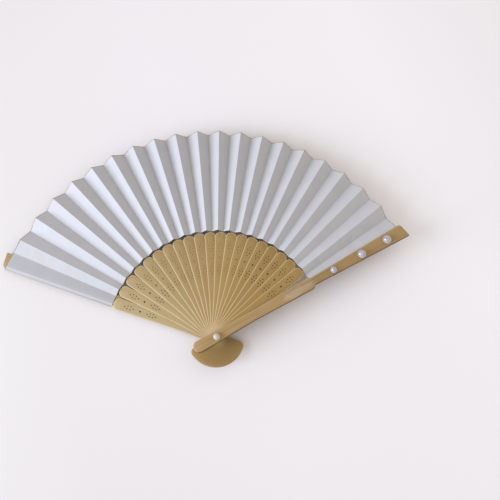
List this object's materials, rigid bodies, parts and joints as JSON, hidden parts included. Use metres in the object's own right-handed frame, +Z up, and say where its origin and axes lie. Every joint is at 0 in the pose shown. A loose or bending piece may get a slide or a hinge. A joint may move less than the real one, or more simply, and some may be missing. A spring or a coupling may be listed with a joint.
{
  "type": "folding hand fan",
  "caption": "Folding hand fan: a pleated paper leaf on pierced bamboo ribs that swing on a rivet between bamboo guards, with pearl beads along the front guard.",
  "frame": {"origin": "on the rivet's axis, at the underside of the rivet's foot", "axes": "+Z up along the rivet, from the back guard to the front guard; +Y through the middle of the open fan; +X towards the front guard"},
  "size_m": [0.3468, 0.2085, 0.0272],
  "materials": {
    "guard_bamboo": "satin",
    "rib_bamboo": "satin",
    "leaf_paper": "matte",
    "rivet_brass": "satin",
    "rivet_bead": "satin",
    "pearl": "gloss"
  },
  "bodies": {
    "back_guard": {"back_guard": "guard_bamboo", "rib_01": "rib_bamboo", "leaf": "leaf_paper", "rivet": "rivet_brass", "rivet_pearl": "rivet_bead"},
    "rib_02": {"rib_02": "rib_bamboo"},
    "rib_03": {"rib_03": "rib_bamboo"},
    "rib_04": {"rib_04": "rib_bamboo"},
    "rib_05": {"rib_05": "rib_bamboo"},
    "rib_06": {"rib_06": "rib_bamboo"},
    "rib_07": {"rib_07": "rib_bamboo"},
    "rib_08": {"rib_08": "rib_bamboo"},
    "rib_09": {"rib_09": "rib_bamboo"},
    "rib_10": {"rib_10": "rib_bamboo"},
    "rib_11": {"rib_11": "rib_bamboo"},
    "rib_12": {"rib_12": "rib_bamboo"},
    "rib_13": {"rib_13": "rib_bamboo"},
    "rib_14": {"rib_14": "rib_bamboo"},
    "rib_15": {"rib_15": "rib_bamboo"},
    "rib_16": {"rib_16": "rib_bamboo"},
    "rib_17": {"rib_17": "rib_bamboo"},
    "rib_18": {"rib_18": "rib_bamboo"},
    "rib_19": {"rib_19": "rib_bamboo"},
    "rib_20": {"rib_20": "rib_bamboo"},
    "front_guard": {"front_guard": "guard_bamboo", "pearl_low": "pearl", "pearl_middle": "pearl", "pearl_high": "pearl"}
  },
  "joints": [
    {"name": "rib_02_swing", "type": "hinge", "parent": "back_guard", "child": "rib_02", "pos_m": [0, 0, 0], "axis": [0, 0, 1], "range_deg": [-1.04, 7.44], "deforming": ["leaf"]},
    {"name": "rib_03_swing", "type": "hinge", "parent": "rib_02", "child": "rib_03", "pos_m": [0, 0, 0], "axis": [0, 0, 1], "range_deg": [-1.01, 7.21]},
    {"name": "rib_04_swing", "type": "hinge", "parent": "rib_03", "child": "rib_04", "pos_m": [0, 0, 0], "axis": [0, 0, 1], "range_deg": [-0.98, 7]},
    {"name": "rib_05_swing", "type": "hinge", "parent": "rib_04", "child": "rib_05", "pos_m": [0, 0, 0], "axis": [0, 0, 1], "range_deg": [-0.95, 6.81]},
    {"name": "rib_06_swing", "type": "hinge", "parent": "rib_05", "child": "rib_06", "pos_m": [0, 0, 0], "axis": [0, 0, 1], "range_deg": [-0.93, 6.65]},
    {"name": "rib_07_swing", "type": "hinge", "parent": "rib_06", "child": "rib_07", "pos_m": [0, 0, 0], "axis": [0, 0, 1], "range_deg": [-0.91, 6.5]},
    {"name": "rib_08_swing", "type": "hinge", "parent": "rib_07", "child": "rib_08", "pos_m": [0, 0, 0], "axis": [0, 0, 1], "range_deg": [-0.89, 6.38]},
    {"name": "rib_09_swing", "type": "hinge", "parent": "rib_08", "child": "rib_09", "pos_m": [0, 0, 0], "axis": [0, 0, 1], "range_deg": [-0.88, 6.28]},
    {"name": "rib_10_swing", "type": "hinge", "parent": "rib_09", "child": "rib_10", "pos_m": [0, 0, 0], "axis": [0, 0, 1], "range_deg": [-0.87, 6.21]},
    {"name": "rib_11_swing", "type": "hinge", "parent": "rib_10", "child": "rib_11", "pos_m": [0, 0, 0], "axis": [0, 0, 1], "range_deg": [-0.86, 6.15]},
    {"name": "rib_12_swing", "type": "hinge", "parent": "rib_11", "child": "rib_12", "pos_m": [0, 0, 0], "axis": [0, 0, 1], "range_deg": [-0.86, 6.12]},
    {"name": "rib_13_swing", "type": "hinge", "parent": "rib_12", "child": "rib_13", "pos_m": [0, 0, 0], "axis": [0, 0, 1], "range_deg": [-0.85, 6.1]},
    {"name": "rib_14_swing", "type": "hinge", "parent": "rib_13", "child": "rib_14", "pos_m": [0, 0, 0], "axis": [0, 0, 1], "range_deg": [-0.86, 6.11]},
    {"name": "rib_15_swing", "type": "hinge", "parent": "rib_14", "child": "rib_15", "pos_m": [0, 0, 0], "axis": [0, 0, 1], "range_deg": [-0.86, 6.14]},
    {"name": "rib_16_swing", "type": "hinge", "parent": "rib_15", "child": "rib_16", "pos_m": [0, 0, 0], "axis": [0, 0, 1], "range_deg": [-0.87, 6.2]},
    {"name": "rib_17_swing", "type": "hinge", "parent": "rib_16", "child": "rib_17", "pos_m": [0, 0, 0], "axis": [0, 0, 1], "range_deg": [-0.88, 6.27]},
    {"name": "rib_18_swing", "type": "hinge", "parent": "rib_17", "child": "rib_18", "pos_m": [0, 0, 0], "axis": [0, 0, 1], "range_deg": [-0.89, 6.37]},
    {"name": "rib_19_swing", "type": "hinge", "parent": "rib_18", "child": "rib_19", "pos_m": [0, 0, 0], "axis": [0, 0, 1], "range_deg": [-0.91, 6.48]},
    {"name": "rib_20_swing", "type": "hinge", "parent": "rib_19", "child": "rib_20", "pos_m": [0, 0, 0], "axis": [0, 0, 1], "range_deg": [-0.93, 6.62]},
    {"name": "front_guard_swing", "type": "hinge", "parent": "rib_20", "child": "front_guard", "pos_m": [0, 0, 0], "axis": [0, 0, 1], "range_deg": [-1.04, 7.4]}
  ],
  "couplings": [
    {"joint": "rib_03_swing", "follows": "rib_02_swing", "ratio": 0.96909},
    {"joint": "rib_04_swing", "follows": "rib_02_swing", "ratio": 0.94111},
    {"joint": "rib_05_swing", "follows": "rib_02_swing", "ratio": 0.91604},
    {"joint": "rib_06_swing", "follows": "rib_02_swing", "ratio": 0.8939},
    {"joint": "rib_07_swing", "follows": "rib_02_swing", "ratio": 0.87467},
    {"joint": "rib_08_swing", "follows": "rib_02_swing", "ratio": 0.85837},
    {"joint": "rib_09_swing", "follows": "rib_02_swing", "ratio": 0.84499},
    {"joint": "rib_10_swing", "follows": "rib_02_swing", "ratio": 0.83453},
    {"joint": "rib_11_swing", "follows": "rib_02_swing", "ratio": 0.82699},
    {"joint": "rib_12_swing", "follows": "rib_02_swing", "ratio": 0.82237},
    {"joint": "rib_13_swing", "follows": "rib_02_swing", "ratio": 0.82067},
    {"joint": "rib_14_swing", "follows": "rib_02_swing", "ratio": 0.82189},
    {"joint": "rib_15_swing", "follows": "rib_02_swing", "ratio": 0.82603},
    {"joint": "rib_16_swing", "follows": "rib_02_swing", "ratio": 0.8331},
    {"joint": "rib_17_swing", "follows": "rib_02_swing", "ratio": 0.84308},
    {"joint": "rib_18_swing", "follows": "rib_02_swing", "ratio": 0.85599},
    {"joint": "rib_19_swing", "follows": "rib_02_swing", "ratio": 0.87181},
    {"joint": "rib_20_swing", "follows": "rib_02_swing", "ratio": 0.89056},
    {"joint": "front_guard_swing", "follows": "rib_02_swing", "ratio": 0.99523}
  ]
}
